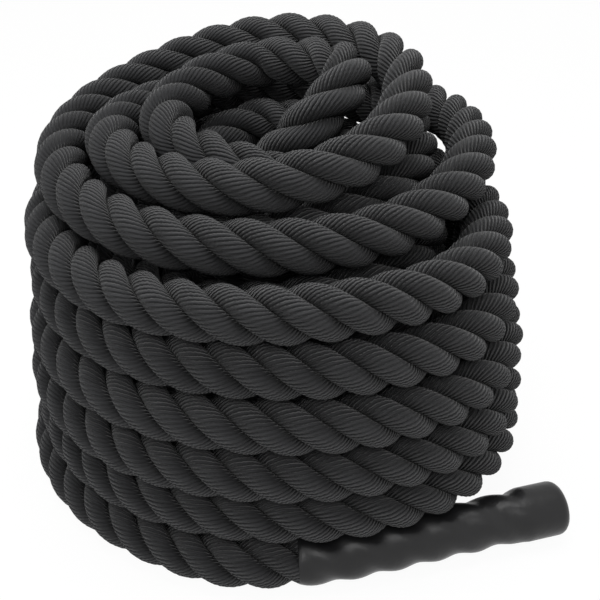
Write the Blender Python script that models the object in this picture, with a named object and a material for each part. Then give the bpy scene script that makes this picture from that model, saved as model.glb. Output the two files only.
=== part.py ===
"""Battle rope: 38 mm thick, 15 m long, coiled in a pile, with a shrunk grip on each end.

The rope is one unbroken tube. Its turns come from a loop over a few turning points, given in
rope diameters, and its two free ends follow short lists of points. Each grip is a closed sleeve
over the three strands of the rope's end, which a band of whipping holds together.
"""

import math
from dataclasses import dataclass

import bmesh
import bpy
from mathutils import Vector

# Driving sizes, in metres
ROPE_DIAMETER = 0.038
GRIP_LAY_LENGTH = 0.090
CLEARANCE = 0.0003
LEAST_TURN_GAP = 0.0004
SLEEVE_WALL = 0.0016
SLEEVE_FIT = 0.0006
SLEEVE_LOBE_DEPTH = 0.0022
SLEEVE_END_WALL = 0.0045
SLEEVE_END_ROUND = 0.007
SLEEVE_STATION = 0.005
STRAND_STATION = 0.0075
WHIPPING_WIDTH = 0.022
WHIPPING_THICKNESS = 0.0008
WHIPPING_TO_END = 0.004
RIM_TAPER = 0.010
PATH_STEP = 0.005

# Sizes that are shares of the rope's diameter
SLEEVED_ROPE_SHARE = 0.87
DIVE_STEP_SHARE = 0.45
NEAR_ALONG_SHARE = 2.2
FLOOR_BLOCK_WIDTH_SHARE = 14.0
FLOOR_BLOCK_DEPTH_SHARE = 1.0

# Counts
STRANDS = 3
POINTS_PER_TURN = 24
TURNS = 19.5
ROPE_BEVEL_RESOLUTION = 1
STRAND_SIDES = 8
SLEEVE_SIDES = 24
GAP_SAMPLES_PER_RUN = 3
ROUND_STEPS = 3

SHARP_ANGLE = math.radians(50.0)

# The outer wall: one turn rests on the last, and all climb alike over the grip below them.
# A radius is where a turn starts, at the front. A bulge is a share of a turn, how far the rope
# stands out there, its height, and how much further out the lowest turn lies. The last turns take
# only part of the bulge.
LAYER_PITCH_SHARE = 1.018
WALL_LAYERS = 5
WALL_RADIUS_SHARES = (4.65, 4.60, 4.63, 4.53, 4.32, 4.21)
WALL_BULGE_SHARES = (
    (0.0, 0.0, 0.53, 0.0), (0.125, -0.06, 0.47, 0.10), (0.25, -0.05, 0.40, 0.25),
    (0.375, 0.08, 0.48, 0.15), (0.5, 0.015, 0.67, 0.0), (0.625, -0.055, 0.88, 0.0),
    (0.75, 0.01, 1.09, 0.10), (0.875, 0.37, 1.39, 0.0), (0.9375, 0.19, 1.52, 0.0),
)
BULGE_KEPT_SHARES = (1.0, 1.0, 1.0, 1.0, 0.95, 0.33, 0.0)

# The rings at the top, by turn, radius and height, as the photo shows them
TOP_RING_SHARES = (
    (5.5, 4.38, 5.87), (5.625, 4.60, 6.20), (5.75, 3.93, 6.34), (5.875, 3.30, 6.17),
    (6.0, 3.08, 6.20), (6.125, 3.46, 6.35), (6.25, 3.92, 6.50), (6.375, 4.08, 6.88),
    (6.5, 3.90, 7.50), (6.625, 3.32, 7.62), (6.75, 2.62, 7.42), (6.875, 2.33, 7.14),
    (7.0, 2.22, 6.92), (7.125, 2.44, 6.84), (7.25, 2.93, 6.84), (7.375, 3.02, 6.74),
    (7.5, 3.27, 6.60), (7.625, 3.20, 6.57), (7.75, 2.79, 6.36), (7.875, 2.22, 6.06),
    (8.0, 2.08, 5.86), (8.125, 2.28, 5.74), (8.25, 2.80, 5.75), (8.375, 3.05, 5.67),
    (8.5, 3.16, 5.57), (8.625, 3.14, 5.53), (8.75, 3.08, 5.34), (8.875, 3.10, 5.15),
)

# The middle column winds down inside the wall, then steps in and winds up again
MIDDLE_START_TURN = 9.0
MIDDLE_END_TURN = 13.0
MIDDLE_RADIUS_SHARE = 3.1
MIDDLE_TOP_SHARE = 5.0
MIDDLE_PITCH_SHARE = 1.03
STEP_IN_SHARES = (
    (13.25, 3.0, 0.55), (13.375, 2.85, 0.42), (13.5, 2.62, 0.40), (13.75, 2.25, 0.40),
    (14.0, 2.0, 0.40), (14.25, 1.88, 0.40), (14.5, 1.70, 1.04), (14.75, 1.85, 1.44),
)
INNER_START_TURN = 15
INNER_LAYERS = 3
INNER_RADIUS_SHARE = 1.85
INNER_PITCH_SHARE = 1.06
INNER_CLIMB_SHARES = ((0.0, 1.48), (0.25, 1.48), (0.5, 2.10), (0.75, 2.50))
EYE_RING_SHARES = (
    (18.0, 1.80, 4.72), (18.125, 1.50, 5.00), (18.25, 1.50, 5.50), (18.375, 1.75, 6.00),
    (18.5, 2.08, 6.30), (18.625, 1.72, 6.24), (18.75, 1.50, 6.06), (18.875, 1.14, 6.14),
    (19.0, 1.10, 6.58), (19.125, 1.36, 6.84), (19.25, 1.86, 7.08), (19.375, 2.12, 7.26),
    (19.5, 2.48, 7.45),
)

# Free ends, chosen by hand, in rope diameters. The front grip lies on the floor, so the heights
# there are counted from its axis.
LEAD_SHARES = ((0.50, -4.71, 0.0), (-0.50, -4.755, 0.0), (-1.42, -4.48, -0.04))
LEAD_REPLACES_POINTS = 2
DIVE_SHARES = (
    (0.96, 2.14, 7.55), (1.55, 1.48, 7.62), (1.48, 0.72, 7.52), (0.92, 0.16, 7.10),
    (0.32, 0.07, 6.50), (0.08, 0.0, 5.95), (-0.06, 0.05, 4.95),
)
FRONT_GRIP_SHARES = (
    (0.50, -4.71, 0.0), (1.0, -4.68, 0.0), (2.05, -4.45, 0.0), (3.04, -4.19, 0.0),
    (4.03, -3.93, 0.0), (5.61, -3.515, 0.0),
)
REAR_GRIP_SHARES = ((-0.06, 0.05, 4.95), (-0.209, 0.137, 3.3), (-0.338, 0.234, 1.65), (-0.461, 0.326, 0.08))

# Colours and finish
CHARCOAL = (0.030, 0.031, 0.034)
SLEEVE_BLACK = (0.010, 0.010, 0.011)
WHIPPING_GREY = (0.20, 0.20, 0.19)


@dataclass(frozen=True)
class Finish:
    """A surface: its name, colour, roughness and metallic value."""

    name: str
    colour: tuple
    roughness: float
    metallic: float = 0.0

    def material(self):
        """Returns the Principled material of this finish, made once."""
        found = bpy.data.materials.get(self.name)
        if found:
            return found
        made = bpy.data.materials.new(self.name)
        made.use_nodes = True
        shader = made.node_tree.nodes["Principled BSDF"]
        shader.inputs["Base Color"].default_value = (*self.colour, 1.0)
        shader.inputs["Roughness"].default_value = self.roughness
        shader.inputs["Metallic"].default_value = self.metallic
        return made


ROPE_FIBRE = Finish("rope_fibre", CHARCOAL, 0.85)
SHRUNK_SLEEVE = Finish("shrunk_sleeve", SLEEVE_BLACK, 0.35)
WHIPPING_TAPE = Finish("whipping_tape", WHIPPING_GREY, 0.7)


class GripSizes:
    """The radii of a grip, worked out from the rope's and the sleeve's named sizes."""

    facet = math.cos(math.pi / SLEEVE_SIDES)
    rope_radius = SLEEVED_ROPE_SHARE * ROPE_DIAMETER / 2.0
    strand_radius = (rope_radius - CLEARANCE / math.sqrt(3.0)) / (1.0 + 2.0 / math.sqrt(3.0))
    strand_offset = rope_radius - strand_radius
    ridge_radius = (rope_radius + SLEEVE_FIT) / facet
    whipping_inner = (rope_radius + CLEARANCE) / facet
    whipping_outer = whipping_inner + WHIPPING_THICKNESS
    rim_radius = (whipping_outer + CLEARANCE) / facet
    rest_height = rim_radius + SLEEVE_WALL


def above_floor(shares):
    """Returns points in rope diameters, with heights counted from the axis of a grip on the floor."""
    axis = GripSizes.rest_height / ROPE_DIAMETER
    return [Vector((x, y, axis + height)) for x, y, height in shares]


@dataclass(frozen=True)
class TurningPoint:
    """A place on the coil: turns wound from the front, clockwise from above, radius and height."""

    turn: float
    radius: float
    height: float

    def place(self):
        """Returns the point, in rope diameters."""
        angle = math.tau * self.turn
        return Vector((-self.radius * math.sin(angle), -self.radius * math.cos(angle), self.height))


def wall_turning_points():
    """Returns the outer wall's turning points, from the floor to its top turn."""
    points = []
    for layer in range(WALL_LAYERS + 1):
        start = WALL_RADIUS_SHARES[layer]
        end = WALL_RADIUS_SHARES[min(layer + 1, WALL_LAYERS)]
        kept, kept_next = BULGE_KEPT_SHARES[layer:layer + 2]
        for turn_share, bulge, climb, lowest_spread in WALL_BULGE_SHARES:
            if layer + turn_share >= TOP_RING_SHARES[0][0]:
                break
            bulge_there = bulge * (kept + (kept_next - kept) * turn_share)
            radius = start + (end - start) * turn_share + bulge_there
            if layer == 0:
                radius += lowest_spread
            points.append(TurningPoint(layer + turn_share, radius, climb + LAYER_PITCH_SHARE * layer))
    return points


def column_turning_points():
    """Returns the turning points of the middle column, the step in and the inner column."""
    points = []
    quarters = int((MIDDLE_END_TURN - MIDDLE_START_TURN) * 4)
    for quarter in range(quarters + 1):
        wound = quarter / 4
        height = MIDDLE_TOP_SHARE - MIDDLE_PITCH_SHARE * wound
        points.append(TurningPoint(MIDDLE_START_TURN + wound, MIDDLE_RADIUS_SHARE, height))
    points += [TurningPoint(*shares) for shares in STEP_IN_SHARES]
    for layer in range(INNER_LAYERS):
        for turn_share, climb in INNER_CLIMB_SHARES:
            height = climb + INNER_PITCH_SHARE * layer
            points.append(TurningPoint(INNER_START_TURN + layer + turn_share, INNER_RADIUS_SHARE, height))
    return points


def coil_turning_points():
    """Returns every turning point of the coil, in the order in which the rope passes them."""
    points = wall_turning_points()
    points += [TurningPoint(*shares) for shares in TOP_RING_SHARES]
    points += column_turning_points()
    points += [TurningPoint(*shares) for shares in EYE_RING_SHARES]
    return points


def slope_at(points, index, value):
    """Returns how fast a value changes per turn at one of the points."""
    before = points[max(index - 1, 0)]
    here = points[index]
    after = points[min(index + 1, len(points) - 1)]
    run_in = here.turn - before.turn
    run_out = after.turn - here.turn
    if run_in == 0.0:
        return (value(after) - value(here)) / run_out
    if run_out == 0.0:
        return (value(here) - value(before)) / run_in
    rise_in = (value(here) - value(before)) / run_in
    rise_out = (value(after) - value(here)) / run_out
    return (rise_in * run_out + rise_out * run_in) / (run_in + run_out)


def between(points, index, turn, value):
    """Returns a value at a turn, on the smooth curve between point index and the next."""
    here, after = points[index], points[index + 1]
    run = after.turn - here.turn
    u = (turn - here.turn) / run
    start = slope_at(points, index, value) * run
    end = slope_at(points, index + 1, value) * run
    square, cube = u * u, u * u * u
    return (
        (2.0 * cube - 3.0 * square + 1.0) * value(here) + (cube - 2.0 * square + u) * start
        + (3.0 * square - 2.0 * cube) * value(after) + (cube - square) * end
    )


def coil_points():
    """Returns the coil's centreline, in rope diameters, with a set number of points a turn."""
    points = coil_turning_points()
    centreline = []
    index = 0
    for count in range(int(TURNS * POINTS_PER_TURN) + 1):
        turn = count / POINTS_PER_TURN
        while index < len(points) - 2 and points[index + 1].turn <= turn:
            index += 1
        radius = between(points, index, turn, lambda point: point.radius)
        height = between(points, index, turn, lambda point: point.height)
        centreline.append(TurningPoint(turn, radius, height).place())
    return centreline


def smooth_run(points, step):
    """Returns points about a step apart on a smooth curve through the given ones."""
    run = []
    for index in range(len(points) - 1):
        before = points[max(index - 1, 0)]
        here, after = points[index], points[index + 1]
        beyond = points[min(index + 2, len(points) - 1)]
        pieces = max(2, round((after - here).length / step))
        for piece in range(pieces):
            u = piece / pieces
            bend = (before * 2.0 - here * 5.0 + after * 4.0 - beyond) * u * u
            twist = (here * 3.0 - before - after * 3.0 + beyond) * u * u * u
            run.append((here * 2.0 + (after - before) * u + bend + twist) / 2.0)
    run.append(points[-1])
    return run


def rope_centreline():
    """Returns the rope's centreline in metres, from the front grip to the rear grip.

    Both ends run straight for one rope diameter, square to the grip that they meet.
    """
    lead = above_floor(LEAD_SHARES)
    coil = coil_points()
    dive = [Vector(shares) for shares in DIVE_SHARES]
    falling = smooth_run([coil[-2], coil[-1]] + dive[:-1], DIVE_STEP_SHARE)
    first = next(index for index, point in enumerate(falling) if (point - coil[-1]).length < CLEARANCE)
    whole = lead + coil[LEAD_REPLACES_POINTS:] + falling[first + 1:] + dive[-1:]
    return [point * ROPE_DIAMETER for point in whole]


def least_turn_gap(centreline):
    """Returns the least gap, in metres, between two stretches of the rope that aren't neighbours."""
    samples = []
    travelled = 0.0
    for here, after in zip(centreline, centreline[1:]):
        run = (after - here).length
        for sample in range(GAP_SAMPLES_PER_RUN):
            part = sample / GAP_SAMPLES_PER_RUN
            samples.append((travelled + part * run, here.lerp(after, part)))
        travelled += run
    nearest = math.inf
    near_along = NEAR_ALONG_SHARE * ROPE_DIAMETER
    for index, (along, point) in enumerate(samples):
        for other_along, other in samples[index + 1:]:
            if other_along - along > near_along:
                nearest = min(nearest, (other - point).length)
    return nearest - ROPE_DIAMETER


def path_length(points):
    """Returns the length of a path along its points."""
    return sum((after - here).length for here, after in zip(points, points[1:]))


class GripPath:
    """The axis of a grip, with a side and an up direction carried along it without twist."""

    def __init__(self, points, entry):
        """Makes the axis.

        Args:
            points: its points, in rope diameters, from the mouth to the closed end.
            entry: which way the rope runs where it enters the mouth.
        """
        self.points = smooth_run([point * ROPE_DIAMETER for point in points], PATH_STEP)
        self.length = path_length(self.points)
        self.tangents = [entry.normalized()]
        for index in range(1, len(self.points)):
            after = self.points[min(index + 1, len(self.points) - 1)]
            self.tangents.append((after - self.points[index - 1]).normalized())
        side = self.tangents[0].cross(Vector((0.0, 0.0, 1.0)))
        self.sides = [side.normalized()]
        for before, after in zip(self.tangents, self.tangents[1:]):
            turned = before.rotation_difference(after) @ self.sides[-1]
            self.sides.append((turned - after * turned.dot(after)).normalized())

    def at(self, distance):
        """Returns the centre, the side and the up direction at a distance from the mouth."""
        left = distance
        for index in range(len(self.points) - 1):
            run = (self.points[index + 1] - self.points[index]).length
            if left <= run or index == len(self.points) - 2:
                part = left / run
                tangent = self.tangents[index].lerp(self.tangents[index + 1], part).normalized()
                side = self.sides[index].lerp(self.sides[index + 1], part)
                side = (side - tangent * side.dot(tangent)).normalized()
                centre = self.points[index].lerp(self.points[index + 1], part)
                return centre, side, tangent.cross(side)
            left -= run
        raise ValueError("the path has no runs")

    def around(self, distance, radius, angle):
        """Returns the point at an angle round the axis, at a radius, at a distance from the mouth."""
        centre, side, up = self.at(distance)
        return centre + side * (radius * math.cos(angle)) + up * (radius * math.sin(angle))


def front_grip_path():
    """Returns the axis of the grip that lies in front of the coil."""
    lead = above_floor(LEAD_SHARES)
    return GripPath(above_floor(FRONT_GRIP_SHARES), lead[0] - lead[1])


def rear_grip_path():
    """Returns the axis of the grip that hangs in the coil's core."""
    dive = [Vector(shares) for shares in DIVE_SHARES]
    return GripPath([Vector(shares) for shares in REAR_GRIP_SHARES], dive[-1] - dive[-2])


class Grip(GripSizes):
    """A grip: its axis, and where its pieces begin and end along it."""

    def __init__(self, name, path):
        """Args: name: front or rear. path: the grip's axis."""
        self.name = name
        self.path = path
        self.inside_end = self.path.length - SLEEVE_END_WALL
        self.strand_end = self.inside_end - CLEARANCE
        self.whipping_end = self.strand_end - WHIPPING_TO_END
        self.whipping_start = self.whipping_end - WHIPPING_WIDTH
        self.rim_start = self.whipping_start - CLEARANCE

    def lobe_turn(self, distance):
        """Returns how far the strands have turned about the axis at a distance from the mouth."""
        return math.tau * distance / GRIP_LAY_LENGTH

    def inner_radius(self, distance, angle):
        """Returns the sleeve's inner radius: drawn in between the strands, round over the whipping."""
        wave = math.cos(STRANDS * (angle - self.lobe_turn(distance)))
        lobed = self.ridge_radius - SLEEVE_LOBE_DEPTH * (1.0 - wave) / 2.0
        rim = min(max((distance - self.rim_start + RIM_TAPER) / RIM_TAPER, 0.0), 1.0)
        return lobed + (self.rim_radius - lobed) * rim

    def outer_radius(self, distance, angle):
        """Returns the sleeve's outer radius, which rounds in at the closed end."""
        radius = self.inner_radius(min(distance, self.inside_end), angle) + SLEEVE_WALL
        past = max(distance - (self.path.length - SLEEVE_END_ROUND), 0.0) / SLEEVE_END_ROUND
        return radius - SLEEVE_END_ROUND * (1.0 - math.sqrt(max(1.0 - past * past, 0.0)))

    def ring(self, distance, radius_at):
        """Returns one ring of points round the axis, with a radius for each angle."""
        angles = [math.tau * side / SLEEVE_SIDES for side in range(SLEEVE_SIDES)]
        return [self.path.around(distance, radius_at(distance, angle), angle) for angle in angles]


def put_in_scene(name, data, finish, root):
    """Returns a new object of some mesh or curve data, with its finish, under the root empty."""
    made = bpy.data.objects.new(name, data)
    bpy.context.scene.collection.objects.link(made)
    made.parent = root
    data.materials.append(finish.material())
    return made


def tube(name, points, diameter, bevel_resolution, finish, root):
    """Returns a round tube along points, as a curve with filled caps."""
    curve = bpy.data.curves.new(name, "CURVE")
    curve.dimensions = "3D"
    curve.bevel_depth = diameter / 2.0
    curve.bevel_resolution = bevel_resolution
    curve.use_fill_caps = True
    spline = curve.splines.new("POLY")
    spline.points.add(len(points) - 1)
    for spline_point, point in zip(spline.points, points):
        spline_point.co = (*point, 1.0)
    return put_in_scene(name, curve, finish, root)


def lofted(name, rings, wraps, finish, root):
    """Returns a closed solid lofted through rings, with its ends capped or, if it wraps, joined."""
    build = bmesh.new()
    loops = [[build.verts.new(point) for point in ring] for ring in rings]
    pairs = list(zip(loops, loops[1:]))
    if wraps:
        pairs.append((loops[-1], loops[0]))
    else:
        build.faces.new(loops[0])
        build.faces.new(loops[-1])
    for first, second in pairs:
        for side in range(len(first)):
            following = (side + 1) % len(first)
            build.faces.new((first[side], first[following], second[following], second[side]))
    bmesh.ops.recalc_face_normals(build, faces=build.faces)
    mesh = bpy.data.meshes.new(name)
    build.to_mesh(mesh)
    build.free()
    mesh.shade_smooth()
    mesh.set_sharp_from_angle(angle=SHARP_ANGLE)
    return put_in_scene(name, mesh, finish, root)


def floor_block(root):
    """Returns the hidden block below the floor that cuts the rope's lowest turns flat."""
    width = FLOOR_BLOCK_WIDTH_SHARE * ROPE_DIAMETER
    depth = FLOOR_BLOCK_DEPTH_SHARE * ROPE_DIAMETER
    bpy.ops.mesh.primitive_cube_add(size=1.0)
    block = bpy.context.object
    block.name = "floor_block"
    block.scale = (width, width, depth)
    block.location = (0.0, 0.0, -depth / 2.0)
    block.parent = root
    block.hide_render = True
    block.display_type = "WIRE"
    return block


def add_coil(root):
    """Adds the rope between its grips, and prints its length and its least gap to itself."""
    centreline = rope_centreline()
    gap = least_turn_gap(centreline)
    print(f"rope between the grips: {path_length(centreline):.3f} m, least gap to itself {gap * 1000.0:.3f} mm")
    if gap <= LEAST_TURN_GAP:
        print("the turns are closer than they should be")
    curve = tube("rope_coil_curve", centreline, ROPE_DIAMETER, ROPE_BEVEL_RESOLUTION, ROPE_FIBRE, root)
    bpy.context.view_layer.update()
    evaluated = curve.evaluated_get(bpy.context.evaluated_depsgraph_get())
    mesh = bpy.data.meshes.new_from_object(evaluated)
    bpy.data.objects.remove(curve)
    mesh.materials.clear()
    coil = put_in_scene("rope_coil", mesh, ROPE_FIBRE, root)
    cut = coil.modifiers.new("flat underside", "BOOLEAN")
    cut.operation = "DIFFERENCE"
    cut.object = floor_block(root)
    return coil


def add_strand_ends(grip, root):
    """Adds the ends of the rope's three strands, which lie inside a grip's sleeve."""
    start = CLEARANCE
    steps = round((grip.strand_end - start) / STRAND_STATION)
    for strand in range(STRANDS):
        rings = []
        for step in range(steps + 1):
            distance = start + (grip.strand_end - start) * step / steps
            centre, side, up = grip.path.at(distance)
            turned = grip.lobe_turn(distance) + math.tau * strand / STRANDS
            ring = []
            for corner in range(STRAND_SIDES):
                angle = turned + math.tau * corner / STRAND_SIDES
                across = grip.strand_offset * math.cos(turned) + grip.strand_radius * math.cos(angle)
                above = grip.strand_offset * math.sin(turned) + grip.strand_radius * math.sin(angle)
                ring.append(centre + side * across + up * above)
            rings.append(ring)
        lofted(f"{grip.name}_strand_end_{strand + 1}", rings, False, ROPE_FIBRE, root)


def add_whipping(grip, root):
    """Adds the band of whipping that holds the strands together near the rope's end."""
    corners = (
        (grip.whipping_start, grip.whipping_inner), (grip.whipping_start, grip.whipping_outer),
        (grip.whipping_end, grip.whipping_outer), (grip.whipping_end, grip.whipping_inner),
    )
    rings = [grip.ring(distance, lambda _, __, radius=radius: radius) for distance, radius in corners]
    lofted(f"{grip.name}_whipping", rings, True, WHIPPING_TAPE, root)


def add_sleeve(grip, root):
    """Adds a grip's sleeve, shrunk into the rope's lay and closed over its end."""
    mouth = CLEARANCE
    straight = grip.path.length - SLEEVE_END_ROUND
    stations = round((straight - mouth) / SLEEVE_STATION)
    distances = [mouth + (straight - mouth) * index / stations for index in range(stations + 1)]
    inner = [distance for distance in distances if distance < grip.inside_end - SLEEVE_WALL]
    inner.append(grip.inside_end)
    rings = [grip.ring(distance, grip.inner_radius) for distance in reversed(inner)]
    rings += [grip.ring(distance, grip.outer_radius) for distance in distances]
    for step in range(ROUND_STEPS):
        rounded = math.sin(math.pi / 2.0 * (step + 1) / ROUND_STEPS)
        rings.append(grip.ring(straight + SLEEVE_END_ROUND * rounded, grip.outer_radius))
    lofted(f"{grip.name}_grip_sleeve", rings, False, SHRUNK_SLEEVE, root)


def centre_over_origin(root):
    """Moves the root so that the box round all the pieces stands centred on the origin."""
    bpy.context.view_layer.update()
    graph = bpy.context.evaluated_depsgraph_get()
    places = []
    for piece in bpy.context.scene.objects:
        if piece.hide_render or piece.type == "EMPTY":
            continue
        evaluated = piece.evaluated_get(graph)
        mesh = evaluated.to_mesh()
        places += [piece.matrix_world @ vertex.co for vertex in mesh.vertices]
        evaluated.to_mesh_clear()
    for axis in range(2):
        low = min(place[axis] for place in places)
        high = max(place[axis] for place in places)
        root.location[axis] -= (low + high) / 2.0
    print(f"rope moved to x {root.location[0]:.5f} m, y {root.location[1]:.5f} m")


def main():
    """Builds the whole rope, from an empty scene."""
    for old in list(bpy.data.objects):
        bpy.data.objects.remove(old)
    root = bpy.data.objects.new("battle_rope", None)
    bpy.context.scene.collection.objects.link(root)
    add_coil(root)
    for grip in (Grip("front", front_grip_path()), Grip("rear", rear_grip_path())):
        print(f"{grip.name} grip: {grip.path.length:.3f} m long")
        add_strand_ends(grip, root)
        add_whipping(grip, root)
        add_sleeve(grip, root)
    centre_over_origin(root)


main()
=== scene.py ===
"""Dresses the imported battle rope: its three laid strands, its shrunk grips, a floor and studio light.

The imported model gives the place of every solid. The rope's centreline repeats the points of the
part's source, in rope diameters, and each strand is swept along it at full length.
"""

from __future__ import annotations

import logging
import math
from dataclasses import dataclass
from enum import Enum
from typing import ClassVar, Sequence

import bpy
import numpy as np
from mathutils import Matrix, Vector

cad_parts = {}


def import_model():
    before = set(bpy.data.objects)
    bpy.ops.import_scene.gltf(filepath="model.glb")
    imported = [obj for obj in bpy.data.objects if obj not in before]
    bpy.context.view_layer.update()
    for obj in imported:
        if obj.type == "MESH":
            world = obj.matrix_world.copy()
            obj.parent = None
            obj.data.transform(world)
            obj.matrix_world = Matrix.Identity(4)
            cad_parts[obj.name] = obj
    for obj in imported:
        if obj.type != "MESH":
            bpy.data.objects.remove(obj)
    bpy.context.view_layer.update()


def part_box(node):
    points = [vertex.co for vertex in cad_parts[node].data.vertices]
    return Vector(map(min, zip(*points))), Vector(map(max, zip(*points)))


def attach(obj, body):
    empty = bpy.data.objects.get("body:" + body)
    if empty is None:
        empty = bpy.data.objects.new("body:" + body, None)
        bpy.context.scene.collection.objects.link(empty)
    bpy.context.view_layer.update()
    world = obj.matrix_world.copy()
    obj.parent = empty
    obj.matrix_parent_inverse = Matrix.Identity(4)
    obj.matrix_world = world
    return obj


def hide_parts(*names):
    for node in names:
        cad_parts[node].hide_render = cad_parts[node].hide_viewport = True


LOG = logging.getLogger("battle_rope")
FULL_TURN = math.tau
NOISE_MIDDLE = 0.5
BODY = "root"

Points = np.ndarray
Shares = Sequence[tuple[float, ...]]


class Slot(Enum):
    """The names of the record's material slots."""

    ROPE = "rope"
    SLEEVE = "sleeve"


# The rope's route


@dataclass(frozen=True)
class CoilPlan:
    """The turning points of the coil, in rope diameters, as the photo shows them.

    A turning point is a number of turns wound from the front, clockwise seen from above, with the
    radius and the height of the rope's centre there. A row of wall_bulge has a share of a turn, how
    far the rope stands out there, how high it has climbed, and how much further out the lowest turn
    lies. Each layer keeps the share of the bulge that bulge_kept gives it.
    """

    points_per_turn: int = 24
    turns: float = 19.5
    layer_pitch: float = 1.018
    wall_layers: int = 5
    wall_radii: tuple[float, ...] = (4.65, 4.60, 4.63, 4.53, 4.32, 4.21)
    wall_bulge: Shares = (
        (0.0, 0.0, 0.53, 0.0), (0.125, -0.06, 0.47, 0.10), (0.25, -0.05, 0.40, 0.25),
        (0.375, 0.08, 0.48, 0.15), (0.5, 0.015, 0.67, 0.0), (0.625, -0.055, 0.88, 0.0),
        (0.75, 0.01, 1.09, 0.10), (0.875, 0.37, 1.39, 0.0), (0.9375, 0.19, 1.52, 0.0),
    )
    bulge_kept: tuple[float, ...] = (1.0, 1.0, 1.0, 1.0, 0.95, 0.33, 0.0)
    top_rings: Shares = (
        (5.5, 4.38, 5.87), (5.625, 4.60, 6.20), (5.75, 3.93, 6.34), (5.875, 3.30, 6.17),
        (6.0, 3.08, 6.20), (6.125, 3.46, 6.35), (6.25, 3.92, 6.50), (6.375, 4.08, 6.88),
        (6.5, 3.90, 7.50), (6.625, 3.32, 7.62), (6.75, 2.62, 7.42), (6.875, 2.33, 7.14),
        (7.0, 2.22, 6.92), (7.125, 2.44, 6.84), (7.25, 2.93, 6.84), (7.375, 3.02, 6.74),
        (7.5, 3.27, 6.60), (7.625, 3.20, 6.57), (7.75, 2.79, 6.36), (7.875, 2.22, 6.06),
        (8.0, 2.08, 5.86), (8.125, 2.28, 5.74), (8.25, 2.80, 5.75), (8.375, 3.05, 5.67),
        (8.5, 3.16, 5.57), (8.625, 3.14, 5.53), (8.75, 3.08, 5.34), (8.875, 3.10, 5.15),
    )
    middle_start: float = 9.0
    middle_end: float = 13.0
    middle_radius: float = 3.1
    middle_top: float = 5.0
    middle_pitch: float = 1.03
    middle_points_per_turn: int = 4
    step_in: Shares = (
        (13.25, 3.0, 0.55), (13.375, 2.85, 0.42), (13.5, 2.62, 0.40), (13.75, 2.25, 0.40),
        (14.0, 2.0, 0.40), (14.25, 1.88, 0.40), (14.5, 1.70, 1.04), (14.75, 1.85, 1.44),
    )
    inner_start: int = 15
    inner_layers: int = 3
    inner_radius: float = 1.85
    inner_pitch: float = 1.06
    inner_climb: Shares = ((0.0, 1.48), (0.25, 1.48), (0.5, 2.10), (0.75, 2.50))
    eye_ring: Shares = (
        (18.0, 1.80, 4.72), (18.125, 1.50, 5.00), (18.25, 1.50, 5.50), (18.375, 1.75, 6.00),
        (18.5, 2.08, 6.30), (18.625, 1.72, 6.24), (18.75, 1.50, 6.06), (18.875, 1.14, 6.14),
        (19.0, 1.10, 6.58), (19.125, 1.36, 6.84), (19.25, 1.86, 7.08), (19.375, 2.12, 7.26),
        (19.5, 2.48, 7.45),
    )

    def wall(self) -> list[tuple[float, float, float]]:
        """Sets out the outer wall.

        Returns:
            Its turning points, from the floor to its top turn.
        """
        points = []
        for layer in range(self.wall_layers + 1):
            start = self.wall_radii[layer]
            end = self.wall_radii[min(layer + 1, self.wall_layers)]
            kept, kept_next = self.bulge_kept[layer:layer + 2]
            for share, bulge, climb, lowest_spread in self.wall_bulge:
                if layer + share >= self.top_rings[0][0]:
                    break
                bulge_there = bulge * (kept + (kept_next - kept) * share)
                radius = start + (end - start) * share + bulge_there
                if layer == 0:
                    radius += lowest_spread
                points.append((layer + share, radius, climb + self.layer_pitch * layer))
        return points

    def columns(self) -> list[tuple[float, float, float]]:
        """Sets out the two columns that the wall hides.

        Returns:
            The turning points of the middle column, the step in and the inner column.
        """
        points = []
        steps = int((self.middle_end - self.middle_start) * self.middle_points_per_turn)
        for step in range(steps + 1):
            wound = step / self.middle_points_per_turn
            height = self.middle_top - self.middle_pitch * wound
            points.append((self.middle_start + wound, self.middle_radius, height))
        points += list(self.step_in)
        for layer in range(self.inner_layers):
            for share, climb in self.inner_climb:
                turn = self.inner_start + layer + share
                points.append((turn, self.inner_radius, climb + self.inner_pitch * layer))
        return points

    def centreline(self) -> Points:
        """Runs a smooth curve through the turning points.

        Returns:
            The coil's centre points, in rope diameters, with a set number a turn.
        """
        turning = np.array(self.wall() + list(self.top_rings) + self.columns() + list(self.eye_ring))
        turn = np.arange(int(self.turns * self.points_per_turn) + 1) / self.points_per_turn
        radius = smooth_values(turning[:, 0], turning[:, 1], turn)
        height = smooth_values(turning[:, 0], turning[:, 2], turn)
        angle = FULL_TURN * turn
        return np.stack([-radius * np.sin(angle), -radius * np.cos(angle), height], axis=1)


def smooth_values(knots: Points, values: Points, places: Points) -> Points:
    """Reads a smooth curve through values at knots.

    Args:
        knots: Where the values hold, increasing.
        values: The value at each knot.
        places: Where the curve is read.

    Returns:
        The curve's value at each place.
    """
    runs = np.diff(knots)
    rises = np.diff(values) / runs
    inner = (rises[:-1] * runs[1:] + rises[1:] * runs[:-1]) / (runs[:-1] + runs[1:])
    slopes = np.concatenate([rises[:1], inner, rises[-1:]])
    piece = np.clip(np.searchsorted(knots, places, side="right") - 1, 0, len(knots) - 2)
    run = runs[piece]
    u = (places - knots[piece]) / run
    square, cube = u * u, u * u * u
    return (
        (2.0 * cube - 3.0 * square + 1.0) * values[piece]
        + (cube - 2.0 * square + u) * slopes[piece] * run
        + (3.0 * square - 2.0 * cube) * values[piece + 1]
        + (cube - square) * slopes[piece + 1] * run
    )


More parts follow.
